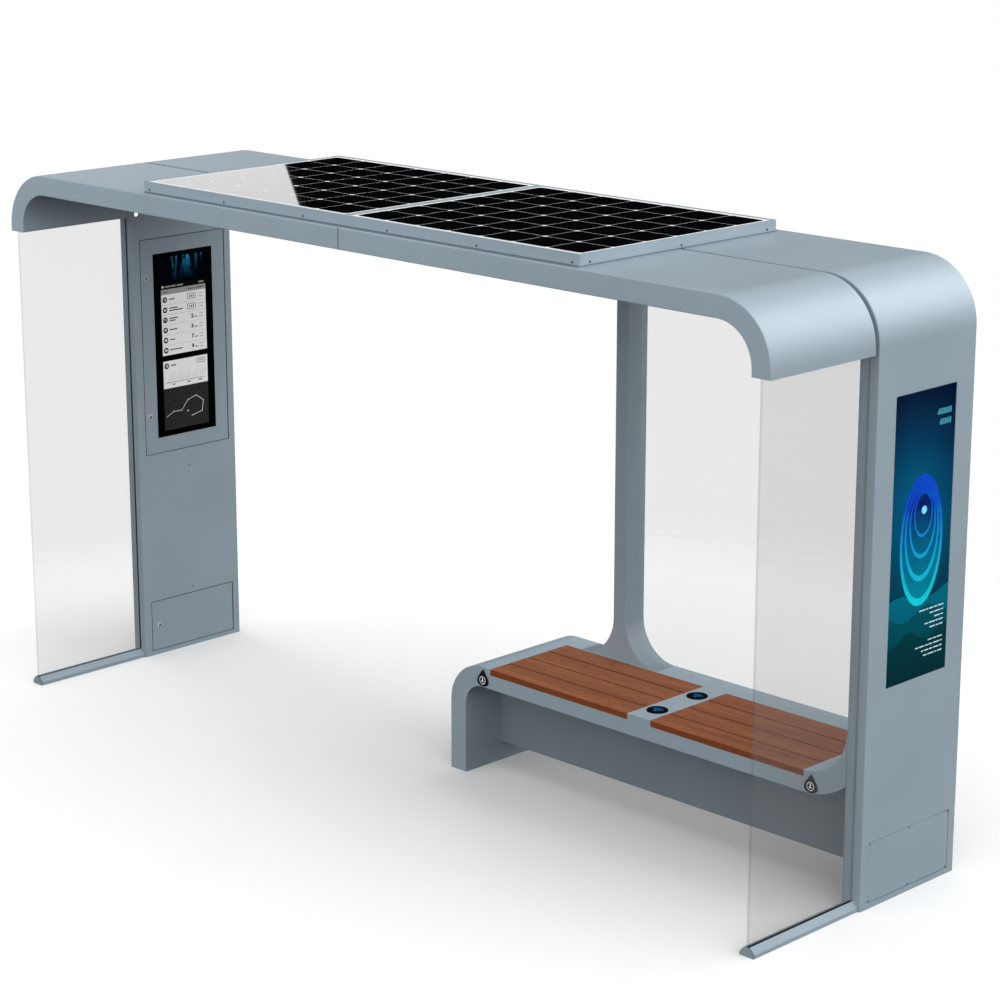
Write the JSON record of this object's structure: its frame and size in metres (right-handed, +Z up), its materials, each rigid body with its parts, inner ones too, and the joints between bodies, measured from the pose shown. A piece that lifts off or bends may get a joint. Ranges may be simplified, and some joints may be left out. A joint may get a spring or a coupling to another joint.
{
  "type": "solar bus shelter",
  "caption": "Open bus shelter with a round-shouldered metal roof on two slim towers, side and rear glass, a bench, screens and solar panels on top.",
  "frame": {"origin": "on the ground at the middle of the plan", "axes": "+X to the right along the shelter, +Y to the rear, +Z up"},
  "size_m": [4, 1.08, 2.227],
  "materials": {
    "blue_grey_paint": "satin blue-grey powder coat",
    "rail_paint": "satin blue-grey powder coat",
    "clear_glass": "clear laminated safety glass",
    "seat_wood": "oiled reddish-brown planks",
    "screen_glass": "black-backed screen glass",
    "solar_glass": "glass over dark cells",
    "charger_plastic": "black pad",
    "cover_plastic": "black cover",
    "lock_chrome": "polished",
    "housing_metal": "black painted steel",
    "hinge_steel": "zinc plated"
  },
  "bodies": {
    "shelter": {"access_cover": "blue_grey_paint", "ad_glass": "screen_glass", "ad_housing": "housing_metal", "back_glass": "clear_glass", "back_post": "blue_grey_paint", "bench_beam": "blue_grey_paint", "bench_leg": "blue_grey_paint", "bench_seat": "blue_grey_paint", "bench_sweep": "blue_grey_paint", "charger_front": "charger_plastic", "charger_plate": "blue_grey_paint", "charger_rear": "charger_plastic", "floor_rail_left": "rail_paint", "floor_rail_right": "rail_paint", "plank_left_1": "seat_wood", "plank_left_2": "seat_wood", "plank_left_3": "seat_wood", "plank_left_4": "seat_wood", "plank_right_1": "seat_wood", "plank_right_2": "seat_wood", "plank_right_3": "seat_wood", "plank_right_4": "seat_wood", "roof_front_left": "blue_grey_paint", "roof_front_right": "blue_grey_paint", "roof_joint_strip": "blue_grey_paint", "roof_rear_left": "blue_grey_paint", "roof_rear_right": "blue_grey_paint", "side_glass_left": "clear_glass", "side_glass_right": "clear_glass", "socket_cover_left": "cover_plastic", "socket_cover_right": "cover_plastic", "solar_module_left": "solar_glass", "solar_module_right": "solar_glass", "solar_tray": "blue_grey_paint", "tower_left_frame": "blue_grey_paint", "tower_left_hinges": "hinge_steel", "tower_left_inner_skin": "blue_grey_paint", "tower_left_outer_skin": "blue_grey_paint", "tower_right_frame": "blue_grey_paint", "tower_right_inner_skin": "blue_grey_paint", "tower_right_outer_skin": "blue_grey_paint"},
    "door": {"display_door": "blue_grey_paint", "display_glass": "screen_glass", "display_housing": "housing_metal", "display_door_locks": "lock_chrome"},
    "hatch": {"service_hatch": "blue_grey_paint", "service_hatch_lock": "lock_chrome"}
  },
  "joints": [
    {"name": "display_door_hinge", "type": "hinge", "parent": "shelter", "child": "door", "pos_m": [-1.928, 0.4925, 1.369], "axis": [0, 0, 1], "range_deg": [0, 95]},
    {"name": "service_hatch_hinge", "type": "hinge", "parent": "shelter", "child": "hatch", "pos_m": [-1.928, 0.4925, 0.1315], "axis": [0, 0, 1], "range_deg": [0, 95]}
  ]
}
